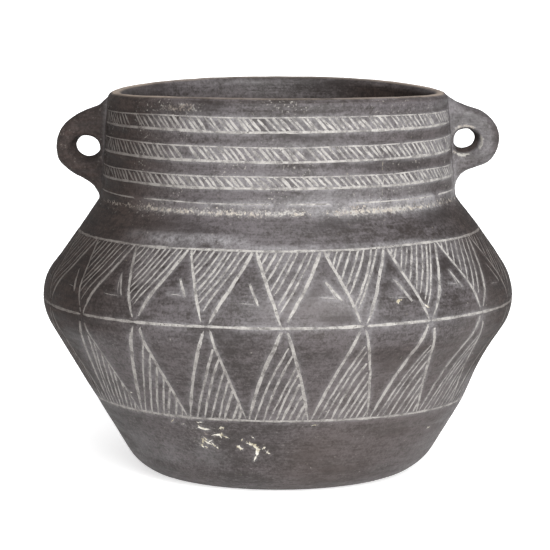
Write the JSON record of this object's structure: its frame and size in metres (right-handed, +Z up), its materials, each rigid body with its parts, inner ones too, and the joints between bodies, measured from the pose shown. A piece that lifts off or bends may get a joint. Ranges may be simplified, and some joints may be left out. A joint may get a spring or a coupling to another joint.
{
  "type": "clay pot",
  "caption": "Round-bodied burnished black clay jar with a wide girth, a straight incised neck, two small pierced lugs and rings of hatched triangles.",
  "frame": {"origin": "centre of the flat resting face, on the floor", "axes": "+Z up along the jar's axis, -Y towards the front, the lugs lie at -X and +X"},
  "size_m": [0.2828, 0.2828, 0.232],
  "materials": {
    "black_clay": "burnished, smoke-fired unglazed clay, dark grey with brownish patches and fine horizontal rubbing marks",
    "lip_clay": "the same burnished clay, worn to a warm tan along the top of the lip",
    "pale_filler": "matt chalky off-white mineral rubbed into the incised lines, patchy"
  },
  "bodies": {
    "root": {"base_dish": "black_clay", "lower_wall": "black_clay", "shoulder_wall": "black_clay", "neck_collar": "black_clay", "rim_coil": "lip_clay", "left_lug": "black_clay", "right_lug": "black_clay", "lower_triangles_filler": "pale_filler", "lower_line_filler": "pale_filler", "girth_line_filler": "pale_filler", "shoulder_triangles_filler": "pale_filler", "shoulder_line_filler": "pale_filler", "neck_foot_crust": "pale_filler", "neck_border_filler": "pale_filler", "upper_neck_strokes_filler": "pale_filler", "middle_neck_strokes_filler": "pale_filler", "lower_neck_strokes_filler": "pale_filler"}
  },
  "joints": []
}
